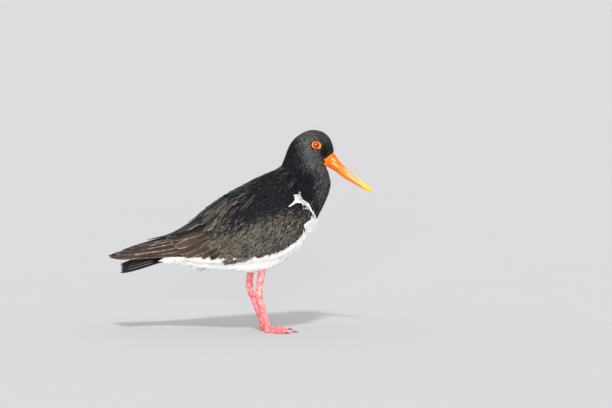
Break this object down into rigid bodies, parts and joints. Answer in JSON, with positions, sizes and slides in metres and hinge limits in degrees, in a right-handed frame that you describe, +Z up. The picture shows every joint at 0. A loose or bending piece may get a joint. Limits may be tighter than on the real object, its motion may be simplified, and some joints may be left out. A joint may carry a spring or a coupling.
{
  "type": "pied oystercatcher",
  "caption": "Standing wading bird with a long orange bill, black upperparts, a white belly and pink legs, a still life-size figure.",
  "frame": {"origin": "centre of the bounding box at floor level, under the bird", "axes": "+X the way the bird faces, +Y to its left, +Z up"},
  "size_m": [0.3662, 0.127, 0.2786],
  "materials": {
    "torso": "soft white belly feathers, black over the back",
    "neck": "soft black feathers",
    "head": "soft black feathers",
    "bill": "satin orange horn, yellower to the tip",
    "eyes": "wet red iris with a black pupil",
    "eye_rings": "fleshy orange",
    "wings": "brown-black feathers with a slight sheen",
    "tail": "black feathers",
    "legs": "scaly pink skin",
    "claws": "dark horn"
  },
  "bodies": {
    "root": {"torso": "torso", "neck": "neck", "head": "head", "bill_upper": "bill", "bill_lower": "bill", "eye_right": "eyes", "eye_left": "eyes", "eye_ring_right": "eye_rings", "eye_ring_left": "eye_rings", "wing_right": "wings", "wing_left": "wings", "tail": "tail", "tibia_right": "legs", "tibia_left": "legs", "tarsus_right": "legs", "tarsus_left": "legs", "foot_right": "legs", "foot_left": "legs", "claw_right_inner": "claws", "claw_right_middle": "claws", "claw_right_outer": "claws", "claw_left_inner": "claws", "claw_left_middle": "claws", "claw_left_outer": "claws"}
  },
  "joints": []
}
